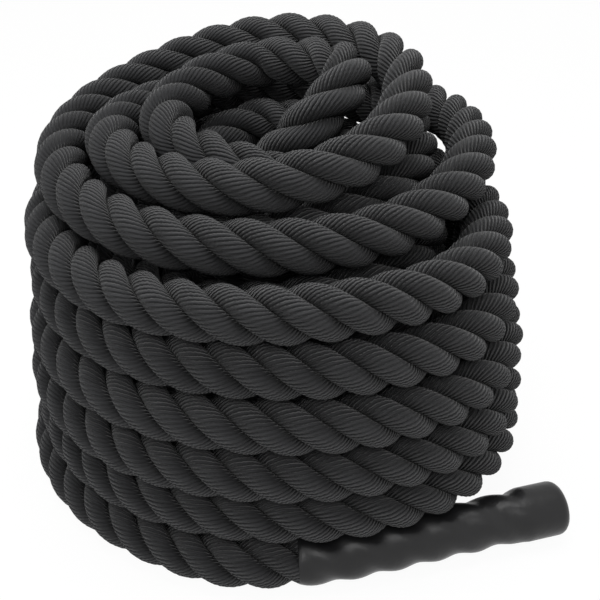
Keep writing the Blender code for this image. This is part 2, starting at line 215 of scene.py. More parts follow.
def smooth_run(points: Points, step: float, least: int = 2) -> Points:
    """Runs a smooth curve through points.

    Args:
        points: The points, in order.
        step: About how far apart the curve's own points are.
        least: The fewest pieces between one of the given points and the next.

    Returns:
        Points along the curve, from the first of the given points to the last.
    """
    run = []
    for index in range(len(points) - 1):
        before = points[max(index - 1, 0)]
        here, after = points[index], points[index + 1]
        beyond = points[min(index + 2, len(points) - 1)]
        pieces = max(least, round(float(np.linalg.norm(after - here)) / step))
        u = (np.arange(pieces) / pieces)[:, None]
        bend = (2.0 * before - 5.0 * here + 4.0 * after - beyond) * u**2
        twist = (3.0 * here - before - 3.0 * after + beyond) * u**3
        run.append((2.0 * here + (after - before) * u + bend + twist) / 2.0)
    run.append(points[-1:])
    return np.concatenate(run)


def read_along(places: Points, knots: Points, field: Points) -> Points:
    """Reads vectors that are given at knots.

    Args:
        places: Where they are read.
        knots: Where they are given, increasing.
        field: The vector at each knot.

    Returns:
        The vector at each place, even between one knot and the next.
    """
    return np.stack([np.interp(places, knots, part) for part in field.T], axis=1)


@dataclass(frozen=True)
class FreeEnds:
    """The rope's ends outside the coil, in rope diameters, as the photo shows them.

    Heights in lead and front_grip are counted from the axis of a grip that lies on the floor. The
    lead stands in for the first points of the coil, as many as lead_replaces says.
    """

    lead: Shares = ((0.50, -4.71, 0.0), (-0.50, -4.755, 0.0), (-1.42, -4.48, -0.04))
    lead_replaces: int = 2
    dive: Shares = (
        (0.96, 2.14, 7.55), (1.55, 1.48, 7.62), (1.48, 0.72, 7.52), (0.92, 0.16, 7.10),
        (0.32, 0.07, 6.50), (0.08, 0.0, 5.95), (-0.06, 0.05, 4.95),
    )
    front_grip: Shares = (
        (0.50, -4.71, 0.0), (1.0, -4.68, 0.0), (2.05, -4.45, 0.0), (3.04, -4.19, 0.0),
        (4.03, -3.93, 0.0), (5.61, -3.515, 0.0),
    )
    rear_grip: Shares = (
        (-0.06, 0.05, 4.95), (-0.209, 0.137, 3.3), (-0.338, 0.234, 1.65), (-0.461, 0.326, 0.08),
    )


@dataclass(frozen=True)
class RopeSize:
    """The rope's sizes, in metres, and its counts.

    A lobe shift is how far the strands lie ahead of an even lay, by how far past the front mouth,
    both in rope diameters. Coiling opens the lay here and closes it there. The centreline is drawn
    with fine_points points for each ring of a strand. A grip's mouth is looked for in the part of the
    route at its end, where search_parts equal parts make the whole.
    """

    diameter: float = 0.038
    lay_length: float = 0.0874
    grip_lay_length: float = 0.090
    lobe_shifts: Shares = (
        (0.0, 0.4), (3.0, 0.4), (28.0, 0.3), (34.0, 0.4), (57.0, 0.5), (62.0, 0.35), (84.0, -0.2),
        (90.0, -0.4), (93.0, -0.35), (112.0, -0.1), (114.0, -0.15), (119.0, -0.5), (137.0, -0.75),
        (142.0, -0.95), (146.0, -1.2), (161.0, -0.85), (166.0, -1.0), (173.0, -0.9), (182.0, -0.7),
        (184.0, -0.4), (186.0, -0.1), (188.0, 0.0), (193.0, 0.05), (208.0, 0.05), (221.0, -0.5),
        (234.0, 0.0), (371.0, 0.0), (378.0, 0.05), (381.0, -0.2), (386.0, 0.0), (400.0, 0.0),
    )
    strands: int = 3
    stations_per_lay: int = 24
    fine_points: int = 3
    search_parts: int = 20
    nominal_length: float = 15.0
    sleeved_share: float = 0.87
    squeeze_run: float = 0.012
    short_of_end: float = 0.0048

    @property
    def station(self) -> float:
        """Returns the distance between two rings of a strand."""
        return self.lay_length / self.stations_per_lay


class Route:
    """The rope's centreline from the front grip's closed end to the rear grip's, with its twist."""

    def __init__(self, size: RopeSize, grip_axis: float) -> None:
        """Lays the whole rope.

        Args:
            size: The rope's sizes.
            grip_axis: How high the axis of a grip on the floor is, in metres.
        """
        ends, plan = FreeEnds(), CoilPlan()
        lift = np.array([0.0, 0.0, grip_axis / size.diameter])
        front = np.array(ends.front_grip) + lift
        lead = np.array(ends.lead) + lift
        rear = np.array(ends.rear_grip)
        coil = plan.centreline()[ends.lead_replaces:]
        knots = np.concatenate([front[::-1], lead[1:], coil, np.array(ends.dive), rear[1:]])
        fine = smooth_run(knots * size.diameter, size.station / size.fine_points)
        travelled = np.concatenate([[0.0], np.cumsum(np.linalg.norm(np.diff(fine, axis=0), axis=1))])
        self.size = size
        self.length = float(travelled[-1])
        count = round(self.length / size.station)
        self.along = np.linspace(0.0, self.length, count + 1)
        self.centre = read_along(self.along, travelled, fine)
        part = len(self.along) // size.search_parts
        self.front_mouth = self.nearest(front[0] * size.diameter, slice(part))
        self.rear_mouth = self.nearest(rear[0] * size.diameter, slice(-part, None))
        self.forward = np.gradient(self.centre, axis=0)
        self.forward /= np.linalg.norm(self.forward, axis=1, keepdims=True)
        self.side, self.up = self.untwisted_frames()
        self.twist = self.wound(self.along)

    def nearest(self, place: Points, stretch: slice) -> float:
        """Finds where the rope passes a place.

        Args:
            place: The place, in metres.
            stretch: The stations that are looked at.

        Returns:
            The distance along the rope.
        """
        gaps = np.linalg.norm(self.centre[stretch] - place, axis=1)
        return float(self.along[stretch][gaps.argmin()])

    def untwisted_frames(self) -> tuple[Points, Points]:
        """Carries a side direction along the rope without twist.

        Returns:
            The side at each station, and the up that goes with it.
        """
        side = np.empty_like(self.forward)
        start = np.cross(self.forward[0], (0.0, 0.0, 1.0))
        side[0] = start / np.linalg.norm(start)
        for index in range(1, len(side)):
            carried = side[index - 1] - self.forward[index] * (side[index - 1] @ self.forward[index])
            side[index] = carried / np.linalg.norm(carried)
        return side, np.cross(self.forward, side)

    def move(self, offset: Points) -> None:
        """Moves the whole route by an offset, in metres."""
        self.centre = self.centre + offset

    def wound(self, along: Points) -> Points:
        """Works out how far the strands have turned, in the grips by a lay of their own.

        Args:
            along: Distances along the rope, from the front grip's closed end.

        Returns:
            The turn at each, in radians, counted from the front grip's mouth.
        """
        size = self.size
        along = np.clip(along, 0.0, self.length)
        between = np.clip(along, self.front_mouth, self.rear_mouth) - self.front_mouth
        inside = along - self.front_mouth - between
        knots, shifts = np.array(size.lobe_shifts).T
        ahead = smooth_values(knots, shifts, between / size.diameter) * size.diameter
        return FULL_TURN * ((between - ahead) / size.lay_length + inside / size.grip_lay_length)

    def roped(self) -> slice:
        """Finds the stations that the strands reach.

        Returns:
            The stations, which stop short of the sleeves' closed ends.
        """
        short = self.size.short_of_end
        first, last = np.searchsorted(self.along, (short, self.length - short))
        return slice(int(first), int(last))

    def squeeze(self) -> Points:
        """Works out how thick the rope is, since the sleeves press it thinner.

        Returns:
            The thickness at each station, as a share of the rope's diameter.
        """
        into_front = (self.front_mouth - self.along) / self.size.squeeze_run
        into_rear = (self.along - self.rear_mouth) / self.size.squeeze_run
        inside = np.clip(np.maximum(into_front, into_rear), 0.0, 1.0)
        return 1.0 - (1.0 - self.size.sleeved_share) * inside * inside * (3.0 - 2.0 * inside)


# Shader nodes


class Wire:
    """An output socket, on which Python's operators add Math nodes."""

    def __init__(self, board: NodeBoard, socket: bpy.types.NodeSocket) -> None:
        """Wraps a socket.

        Args:
            board: The node tree that the socket is in.
            socket: The output that the value comes from.
        """
        self.board = board
        self.socket = socket

    def with_math(self, operation: str, *others: Wire | float, swapped: bool = False) -> Wire:
        """Adds a Math node.

        Args:
            operation: The node's operation.
            others: The other values, in order.
            swapped: Whether this value comes after the first of the others.

        Returns:
            The node's result.
        """
        values = [self, *others]
        if swapped:
            values[0], values[1] = values[1], values[0]
        return self.board.node("ShaderNodeMath", {"operation": operation}, dict(enumerate(values)))

    def __add__(self, other: Wire | float) -> Wire:
        """Returns the sum."""
        return self.with_math("ADD", other)

    def __sub__(self, other: Wire | float) -> Wire:
        """Returns the difference."""
        return self.with_math("SUBTRACT", other)

    def __rsub__(self, other: float) -> Wire:
        """Returns the difference from a number."""
        return self.with_math("SUBTRACT", other, swapped=True)

    def __mul__(self, other: Wire | float) -> Wire:
        """Returns the product."""
        return self.with_math("MULTIPLY", other)

    def __pow__(self, other: float) -> Wire:
        """Returns the power."""
        return self.with_math("POWER", other)

    def __abs__(self) -> Wire:
        """Returns the value without its sign."""
        return self.with_math("ABSOLUTE")

    __radd__ = __add__
    __rmul__ = __mul__

    def sine(self) -> Wire:
        """Returns the sine."""
        return self.with_math("SINE")

    def whole(self) -> Wire:
        """Returns the whole part."""
        return self.with_math("FLOOR")

    def capped(self) -> Wire:
        """Returns the value, or 1 where it is more."""
        return self.with_math("MINIMUM", 1.0)

    def as_share(self) -> Wire:
        """Returns a wave from -1 to 1 as one from 0 to 1."""
        return self * 0.5 + 0.5


class NodeBoard:
    """The node tree of a material or of the world, to which nodes are added."""

    def __init__(self, tree: bpy.types.NodeTree) -> None:
        """Wraps a node tree."""
        self.tree = tree

    def node(self, kind: str, settings: dict, inputs: dict, output: int | str = 0) -> Wire:
        """Adds a node.

        Args:
            kind: The node's type.
            settings: What is set on the node itself.
            inputs: A value or a wire for each named or numbered socket.
            output: The output that is wanted.

        Returns:
            The wanted output.
        """
        made = self.tree.nodes.new(kind)
        for name, value in settings.items():
            setattr(made, name, value)
        for socket, value in inputs.items():
            self.feed(made.inputs[socket], value)
        return Wire(self, made.outputs[output])

    def feed(self, socket: bpy.types.NodeSocket, value: Wire | float | tuple) -> None:
        """Fills an input socket.

        Args:
            socket: The socket.
            value: The wire that leads to it, or its plain value.
        """
        if isinstance(value, Wire):
            self.tree.links.new(value.socket, socket)
        else:
            socket.default_value = value

    def parts(self, vector: Wire) -> tuple[Wire, ...]:
        """Splits a vector.

        Args:
            vector: The vector.

        Returns:
            Its three parts.
        """
        split = self.tree.nodes.new("ShaderNodeSeparateXYZ")
        self.feed(split.inputs[0], vector)
        return tuple(Wire(self, part) for part in split.outputs)

    def mix(self, share: Wire, low: Wire | tuple, high: Wire | tuple) -> Wire:
        """Returns a colour between two, by the numbered sockets that a colour mix has."""
        return self.node("ShaderNodeMix", {"data_type": "RGBA"}, {0: share, 6: low, 7: high}, 2)

    def mix_shaders(self, share: Wire, low: Wire, high: Wire) -> Wire:
        """Returns a shader between two."""
        return self.node("ShaderNodeMixShader", {}, {0: share, 1: low, 2: high})

    def noise(self, place: Wire, scale: float, detail: float = 2.0) -> Wire:
        """Returns noise at a place, from 0 to 1."""
        return self.node("ShaderNodeTexNoise", {}, {"Vector": place, "Scale": scale, "Detail": detail})

    def bump(self, height: Wire, depth: float, below: Wire | None = None) -> Wire:
        """Raises the surface by a height.

        Args:
            height: The height, as a share of the depth.
            depth: How high the share of 1 stands, in metres.
            below: An earlier normal that this one goes over.

        Returns:
            The normal.
        """
        inputs = {"Strength": 1.0, "Distance": depth, "Height": height}
        if below is not None:
            inputs["Normal"] = below
        return self.node("ShaderNodeBump", {}, inputs)

    def place(self) -> Wire:
        """Returns the place on the object, in metres."""
        return self.node("ShaderNodeTexCoord", {}, {}, "Object")

    def seen_directly(self) -> Wire:
        """Tells a ray of sight, also off gloss and through glass, from a ray of light.

        Returns:
            1 on a ray of sight and 0 on the others.
        """
        path = self.tree.nodes.new("ShaderNodeLightPath")
        names = ("Is Camera Ray", "Is Glossy Ray", "Is Transmission Ray")
        camera, glossy, through = (Wire(self, path.outputs[name]) for name in names)
        return (camera + glossy + through).capped()


class MaterialBoard(NodeBoard):
    """The nodes of a new material, round its shader."""

    def __init__(self, name: str) -> None:
        """Makes a material.

        Args:
            name: The material's name.
        """
        self.material = bpy.data.materials.new(name)
        self.material.use_nodes = True
        super().__init__(self.material.node_tree)
        self.shader = self.tree.nodes["Principled BSDF"]

    def finish(self, **sockets: Wire | float | tuple) -> None:
        """Feeds the shader's sockets, named with _ for each space."""
        for name, value in sockets.items():
            self.feed(self.shader.inputs[name.replace("_", " ").title()], value)

    def set_gloss(self, level: float) -> None:
        """Sets how strongly the surface reflects, on the shader's own socket."""
        self.feed(self.shader.inputs["Specular IOR Level"], level)


# Finishes


@dataclass(frozen=True)
class YarnFinish:
    """Charcoal polyester yarns, laid side by side round a strand, with painted shade between the yarns
    and in the valleys between strands.
    """

    name: str = "rope_yarn"
    yarns: int = 16
    crown_place: float = 0.5
    # Round this place on the strand's outline the ribs are shallower and their painted groove shade is
    # fainter, as on an evenly lit flank.
    smooth_flank_place: float = 0.66
    smooth_flank_share: float = 0.25
    # How strongly shade is painted into the grooves between the yarns.
    groove_share: float = 0.6
    wobble: float = 0.9
    wobble_scale: float = 60.0
    tuft_scale: float = 280.0
    # Painted shade: the base colour darkens towards the valleys between the strands, where shade falls.
    valley_power: float = 2.0
    valley_shade: float = 0.85
    # The painted shade's colour, in the grooves between yarns and in the valleys between strands.
    painted_shade_colour: tuple[float, ...] = (0.0042, 0.0042, 0.0046, 1.0)
    crown_colour: tuple[float, ...] = (0.034, 0.0345, 0.0365, 1.0)
    faded_colour: tuple[float, ...] = (0.061, 0.062, 0.065, 1.0)
    # Painted shade in the crease between one yarn's crown and the next.
    painted_between_shade_colour: tuple[float, ...] = (0.014, 0.014, 0.015, 1.0)
    yarn_depth: float = 0.0024
    fibre_depth: float = 0.00005
    fibres_across: float = 3.0
    between_power: float = 1.5
    flank_run: float = 0.25
    roughness: float = 0.72
    gloss_level: float = 0.12
    sheen: float = 0.25
    sheen_roughness: float = 0.45
    tone_scale: float = 14.0
    yarn_fading: float = 0.3
    tone_fading: float = 0.3
    tuft_fading: float = 0.4

    def material(self) -> bpy.types.Material:
        """Makes the finish, which reads the strand's own UV map.

        The map's U counts turns round the strand along a yarn. Its V goes once round the strand's
        outline, with the crown at half way.

        Returns:
            The material.
        """
        board = MaterialBoard(self.name)
        lie = board.node("ShaderNodeUVMap", {"uv_map": StrandSweep.uv_name}, {})
        turns, round_strand, _ = board.parts(lie)
        stray = board.noise(board.place(), self.wobble_scale) - NOISE_MIDDLE
        across = turns * float(self.yarns) + stray * self.wobble
        # Painted shade, strongest in the valleys between the strands.
        painted_valley_shade = self.flank(round_strand, self.crown_place) ** self.valley_power * self.valley_shade
        # 0 round the evenly lit flank, where the ribs and the painted groove shade are faint, and 1
        # away from it.
        off_smooth_flank = self.flank(round_strand, self.smooth_flank_place)
        crown = abs((across * math.pi).sine())
        fibre = (across * (self.fibres_across * FULL_TURN)).sine().as_share()
        yarn_tone = board.node(
            "ShaderNodeTexWhiteNoise", {"noise_dimensions": "1D"}, {"W": across.whole()}
        )
        wander = board.noise(board.place(), self.tone_scale)
        # The rib depth, which scales the bumps and the painted groove shade; it is least round that
        # flank.
        depth = off_smooth_flank * (1.0 - self.smooth_flank_share) + self.smooth_flank_share
        normal = board.bump(crown * depth, self.yarn_depth)
        normal = board.bump(fibre, self.fibre_depth, normal)
        # Painted shade: the colour darkens from each yarn's crown into the crease beside it.
        body = board.mix(crown ** self.between_power, self.painted_between_shade_colour, self.crown_colour)
        tuft = board.noise(board.place(), self.tuft_scale)
        fading = yarn_tone * self.yarn_fading + wander * self.tone_fading + tuft * self.tuft_fading
        worn = board.mix(fading, body, self.faded_colour)
        # Painted shade: the grooves between the yarns darken further.
        groove = (1.0 - crown * crown) * depth * self.groove_share
        ribbed = board.mix(groove, worn, self.painted_shade_colour)
        # Paints the valley shade over the ribbed colour.
        colour = board.mix(painted_valley_shade, ribbed, self.painted_shade_colour)
        board.finish(
            base_color=colour,
            roughness=self.roughness,
            normal=normal,
            sheen_weight=self.sheen,
            sheen_roughness=self.sheen_roughness,
        )
        board.set_gloss(self.gloss_level)
        return board.material

    def flank(self, round_strand: Wire, middle: float) -> Wire:
        """Returns 0 along a line on the strand, rising to 1 at flank_run of the outline away."""
        return (abs(round_strand - middle) * (1.0 / self.flank_run)).capped()


@dataclass(frozen=True)
class FilmFinish:
    """Satin black film, shrunk over the rope by heat."""

    name: str = "shrunk_film"
    colour: tuple[float, ...] = (0.008, 0.008, 0.0085, 1.0)
    rubbed_colour: tuple[float, ...] = (0.018, 0.018, 0.019, 1.0)
    roughness: float = 0.26
    rubbed_roughness: float = 0.16
    gloss_level: float = 0.34
    smudge_scale: float = 55.0
    smudge_detail: float = 4.0
    grain_scale: float = 1500.0
    ripple_scale: float = 160.0
    grain_depth: float = 0.00004
    ripple_depth: float = 0.0003

    def material(self) -> bpy.types.Material:
        """Makes the finish, on object coordinates.

        Returns:
            The material.
        """
        board = MaterialBoard(self.name)
        place = board.place()
        smudge = board.noise(place, self.smudge_scale, self.smudge_detail)
        normal = board.bump(board.noise(place, self.ripple_scale), self.ripple_depth)
        normal = board.bump(board.noise(place, self.grain_scale), self.grain_depth, normal)
        board.finish(
            base_color=board.mix(smudge, self.colour, self.rubbed_colour),
            roughness=self.roughness + smudge * self.rubbed_roughness,
            normal=normal,
        )
        board.set_gloss(self.gloss_level)
        return board.material


@dataclass(frozen=True)
class TapeFinish:
    """Grey woven binding tape, under the film."""

    name: str = "whipping_tape"
    colour: tuple[float, ...] = (0.16, 0.16, 0.15, 1.0)
    thread_colour: tuple[float, ...] = (0.24, 0.24, 0.23, 1.0)
    threads_per_metre: float = 1800.0
    thread_depth: float = 0.0001
    roughness: float = 0.85

    def material(self) -> bpy.types.Material:
        """Makes the finish, on object coordinates.

        Returns:
            The material.
        """
        board = MaterialBoard(self.name)
        upward = board.parts(board.place())[2]
        thread = abs((upward * (math.pi * self.threads_per_metre)).sine())
        board.finish(
            base_color=board.mix(thread, self.colour, self.thread_colour),
            roughness=self.roughness,
            normal=board.bump(thread, self.thread_depth),
        )
        return board.material


# Meshes


def deselect_all() -> None:
    """Deselects every object, so that an operator acts on the new piece alone."""
    for piece in bpy.context.selected_objects:
        piece.select_set(False)


def mesh_piece(
    name: str, points: Points, quads: Points, caps: Sequence[Sequence[int]]
) -> bpy.types.Object:
    """Makes a mesh object.

    Args:
        name: The object's name.
        points: Its vertices, in metres.
        quads: Its four-sided faces, facing outwards.
        caps: Its end faces.

    Returns:
        The object, shaded smooth.
    """
    mesh = bpy.data.meshes.new(name)
    mesh.from_pydata(points.tolist(), [], quads.tolist() + [list(cap) for cap in caps])
    mesh.validate()
    mesh.shade_smooth()
    made = bpy.data.objects.new(name, mesh)
    bpy.context.scene.collection.objects.link(made)
    return made


@dataclass(frozen=True)
class StrandSweep:
    """One strand's shape: a round bundle that winds about the rope's centre, pressed by its neighbours.

    Shares are of the rope's diameter. The yarns cross the strand's own run at an angle, in degrees.
    """

    sides: int = 20
    centre_share: float = 0.265
    deep_share: float = 0.235
    wide_share: float = 0.230
    gap_share: float = 0.002
    yarn_angle: float = 46.0
    least_height: float = 0.0003
    uv_name: ClassVar[str] = "yarns"

    def corner_angles(self) -> Points:
        """Returns the angle of each corner of the outline, from half a turn before the crown."""
        return FULL_TURN * (np.arange(self.sides + 1) / self.sides - 0.5)

    def rise(self, size: RopeSize) -> float:
        """Returns how far the rope runs as a strand winds by one radian, in rope diameters."""
        return size.lay_length / size.diameter / FULL_TURN

    def section(self, size: RopeSize) -> tuple[Points, Points]:
        """Sets out the strand's outline where a cut square to the rope meets it.

        Args:
            size: The rope's sizes.

        Returns:
            Each corner's reach out from the rope's centre and sideways, in rope diameters.
        """
        corner = self.corner_angles()[:-1]
        rise = self.rise(size)
        run = math.hypot(self.centre_share, rise)
        out = self.centre_share + self.deep_share * np.cos(corner)
        side = self.wide_share * rise / run * np.sin(corner)
        wound = self.wide_share * self.centre_share / run / rise * np.sin(corner)
        deep = out * np.cos(wound) - side * np.sin(wound)
        wide = out * np.sin(wound) + side * np.cos(wound)
        half = math.pi / size.strands
        inside = deep * math.sin(half) - np.abs(wide) * math.cos(half)
        pressed = np.maximum(self.gap_share - inside, 0.0)
        return deep + pressed * math.sin(half), wide - np.sign(wide) * pressed * math.cos(half)

    def yarn_winding(self, size: RopeSize) -> tuple[float, Points]:
        """Works out how yarns lie that cross the strand's run at the same angle all round.

        Args:
            size: The rope's sizes.

        Returns:
            How many turns a yarn makes in one lay of the rope, and each corner's share of the way
            round the strand, counted in yarns.
        """
        rise = self.rise(size)
        run = math.hypot(self.centre_share, rise)
        slope = math.tan(math.radians(self.yarn_angle))
        turns = (rise + slope * run * run / self.deep_share) / run
        lean = slope * self.centre_share / run
        bend = self.deep_share * self.centre_share / run / rise * turns - lean / turns
        corner = self.corner_angles()
        return turns, (corner + bend * np.sin(corner)) / FULL_TURN

    def build(self, name: str, route: Route, strand: int) -> bpy.types.Object:
        """Sweeps a strand along the whole rope.

        Args:
            name: The object's name.
            route: The rope's route.
            strand: Which of the strands, from 0.

        Returns:
            The strand's object, with its UV map.
        """
        roped = route.roped()
        thick = (route.size.diameter * route.squeeze()[roped])[:, None, None]
        turned = (route.twist[roped] + FULL_TURN * strand / route.size.strands)[:, None]
        side, up = route.side[roped], route.up[roped]
        outward = side * np.cos(turned) + up * np.sin(turned)
        across = up * np.cos(turned) - side * np.sin(turned)
        deep, wide = (field[None, :, None] for field in self.section(route.size))
        centre = route.centre[roped][:, None, :]
        rings = centre + thick * (deep * outward[:, None, :] + wide * across[:, None, :])
        rings[:, :, 2] = np.maximum(rings[:, :, 2], self.least_height)
        stations = len(rings)
        near = np.arange(stations - 1)[:, None] * self.sides
        far = near + self.sides
        corner = np.arange(self.sides)[None, :]
        following = (corner + 1) % self.sides
        quads = np.stack([near + corner, near + following, far + following, far + corner], axis=-1)
        last_ring = range((stations - 1) * self.sides, stations * self.sides)
        caps = [range(self.sides - 1, -1, -1), last_ring]
        made = mesh_piece(name, rings.reshape(-1, 3), quads.reshape(-1, 4), caps)
        self.map_yarns(made.data, route)
        return made

    def map_yarns(self, mesh: bpy.types.Mesh, route: Route) -> None:
        """Writes the UV map that the yarns follow.

        Args:
            mesh: The strand's mesh, quads first.
            route: The rope's route.
        """
        turns_per_lay, share = self.yarn_winding(route.size)
        wound = route.twist[route.roped()] / FULL_TURN * turns_per_lay
        stations = len(wound)
        round_strand = np.arange(self.sides + 1) / self.sides
        turns = np.empty((stations - 1, self.sides, 4, 2))
        for loop, (ring, edge) in enumerate(((0, 0), (0, 1), (1, 1), (1, 0))):
            corner = slice(edge, self.sides + edge)
            turns[:, :, loop, 0] = wound[ring:stations - 1 + ring, None] + share[None, corner]
            turns[:, :, loop, 1] = round_strand[None, corner]
        flat = np.zeros((len(mesh.loops), 2), np.float32)
        flat[: turns.size // 2] = turns.reshape(-1, 2)
        layer = mesh.uv_layers.new(name=self.uv_name)
        layer.data.foreach_set("uv", flat.ravel())


@dataclass(frozen=True)
class GripSize:
    """A grip's sizes, in metres, as the part's source has them, and how finely its mesh is made.

    The closed end narrows by end_shares, each a share of the ring before. The sleeve is measured on
    measured_rings rings of measured_sides points.
    """

    clearance: float = 0.0003
    wall: float = 0.0016
    fit: float = 0.0006
    lobe_depth: float = 0.0022
    end_wall: float = 0.0045
    end_round: float = 0.007
    whipping_width: float = 0.022
    whipping_thickness: float = 0.0008
    whipping_to_end: float = 0.004
    rim_taper: float = 0.010
    source_sides: int = 24
    sides: int = 72
    stations: int = 64
    rounding_steps: int = 5
    end_shares: tuple[float, ...] = (0.8, 0.75, 0.66, 0.5, 0.2)
    measured_rings: int = 200
    measured_sides: int = 96

    def ridge_radius(self, size: RopeSize) -> float:
        """Returns the sleeve's inner radius over a strand."""
        rope = size.sleeved_share * size.diameter / 2.0
        return (rope + self.fit) / math.cos(math.pi / self.source_sides)

    def rim_radius(self, size: RopeSize) -> float:
        """Works out how wide the sleeve is over the whipping.

        Args:
            size: The rope's sizes.

        Returns:
            Its inner radius there.
        """
        facet = math.cos(math.pi / self.source_sides)
        rope = size.sleeved_share * size.diameter / 2.0
        return ((rope + self.clearance) / facet + self.whipping_thickness + self.clearance) / facet

    def axis_height(self, size: RopeSize) -> float:
        """Returns how high the axis of a grip on the floor is."""
        return self.rim_radius(size) + self.wall


class Grip:
    """A sleeve of film, drawn into the lay of the rope's end and closed over it."""

    def __init__(self, name: str, route: Route, size: GripSize, mouth: float, end: float) -> None:
        """Sets out a grip.

        Args:
            name: front or rear.
            route: The rope's route.
            size: The grip's sizes.
            mouth: Where its mouth is, in metres along the rope.
            end: Where its closed end is.
        """
        self.name = name
        self.route = route
        self.size = size
        self.mouth = mouth
        self.end = end
        self.length = abs(end - mouth)
        inside = self.length - size.end_wall - size.clearance - size.whipping_to_end
        self.rim_start = inside - size.whipping_width - size.clearance

    def at(self, distance: Points) -> tuple[Points, Points, Points, Points]:
        """Reads the route under the sleeve.

        Args:
            distance: Distances from the mouth.

        Returns:
            The rope's centre, side and up there, and the strands' turn.
        """
        way = math.copysign(1.0, self.end - self.mouth)
        along = self.mouth + way * distance
        route = self.route
        centre, side, up = (
            read_along(along, route.along, field) for field in (route.centre, route.side, route.up)
        )
        return centre, side, up, route.wound(along)

    def radius(self, distance: Points, angle: Points, twist: Points) -> Points:
        """Returns the sleeve's outer radius.

        Args:
            distance: How far each point is from the mouth.
            angle: Each point's angle about the rope, in the untwisted frame.
            twist: The strands' turn there.

        Returns:
            The radius at each point: over the strands, in between them, and round over the whipping.
        """
        wave = np.cos(self.route.size.strands * (angle - twist))
        ridge = self.size.ridge_radius(self.route.size)
        lobed = ridge - self.size.lobe_depth * (1.0 - wave) / 2.0
        rim = np.clip((distance - self.rim_start + self.size.rim_taper) / self.size.rim_taper, 0.0, 1.0)
        inner = lobed + (self.size.rim_radius(self.route.size) - lobed) * rim
        past = np.clip((distance - self.length + self.size.end_round) / self.size.end_round, 0.0, 1.0)
        return inner + self.size.wall - self.size.end_round * (1.0 - np.sqrt(1.0 - past * past))

    def surface(self, distance: Points, angle: Points, share: Points) -> Points:
        """Places points on the sleeve's outside.

        Args:
            distance: How far each point is from the mouth.
            angle: Each point's angle about the rope, in the untwisted frame.
            share: How far out each point is, as a share of the sleeve's radius.

        Returns:
            The points, in metres.
        """
        centre, side, up, twist = self.at(distance)
        reach = (self.radius(distance, angle, twist) * share)[:, None]
        return centre + reach * (side * np.cos(angle)[:, None] + up * np.sin(angle)[:, None])

    def build(self) -> bpy.types.Object:
        """Makes the sleeve, lays it on the rope and gives its film a wall.

        Returns:
            The sleeve's object.
        """
        sleeve = self.draw_tube()
        self.lay_on_rope(sleeve.data)
        solid = sleeve.modifiers.new("film wall", "SOLIDIFY")
        solid.thickness = self.size.wall
        solid.offset = -1.0
        bpy.ops.object.modifier_apply(modifier=solid.name)
        sleeve.data.shade_smooth()
        return sleeve

    def draw_tube(self) -> bpy.types.Object:
        """Draws a straight tube of radius 1 out of a circle, and closes its far end.

        Returns:
            The tube, along Z with its mouth at 0.
        """
        deselect_all()
        bpy.ops.mesh.primitive_circle_add(vertices=self.size.sides, radius=1.0, fill_type="NOTHING")
        tube = bpy.context.object
        tube.name = f"{self.name}_sleeve"
        bpy.ops.object.mode_set(mode="EDIT")
        for step in self.tube_steps():
            bpy.ops.mesh.extrude_region_move(TRANSFORM_OT_translate={"value": (0.0, 0.0, step)})
        for share in self.size.end_shares:
            bpy.ops.mesh.extrude_region_move(TRANSFORM_OT_translate={"value": (0.0, 0.0, 0.0)})
            bpy.ops.transform.resize(value=(share, share, 1.0))
        bpy.ops.mesh.edge_face_add()
        bpy.ops.mesh.select_all(action="SELECT")
        bpy.ops.mesh.normals_make_consistent(inside=False)
        bpy.ops.object.mode_set(mode="OBJECT")
        return tube

    def tube_steps(self) -> list[float]:
        """Divides the tube: evenly, and then finer where the closed end's edge turns in.

        Returns:
            The length of each step, from the mouth on.
        """
        size = self.size
        straight = self.length - size.end_round
        steps = [straight / size.stations] * size.stations
        turned = [0.0]
        for step in range(size.rounding_steps):
            turned.append(math.sin(math.pi / 2.0 * (step + 1) / size.rounding_steps))
        return steps + [size.end_round * (high - low) for low, high in zip(turned, turned[1:])]

    def lay_on_rope(self, mesh: bpy.types.Mesh) -> None:
        """Moves each vertex from the straight tube to its place on the rope.

        Args:
            mesh: A tube of radius 1 along Z, its mouth at 0.
        """
        flat = np.empty(len(mesh.vertices) * 3)
        mesh.vertices.foreach_get("co", flat)
        tube = flat.reshape(-1, 3)
        angle = np.arctan2(tube[:, 1], tube[:, 0])
        share = np.minimum(np.hypot(tube[:, 0], tube[:, 1]), 1.0)
        placed = self.surface(tube[:, 2], angle, share)
        mesh.vertices.foreach_set("co", placed.ravel())
        if self.end < self.mouth:
            mesh.flip_normals()


# The whole rope


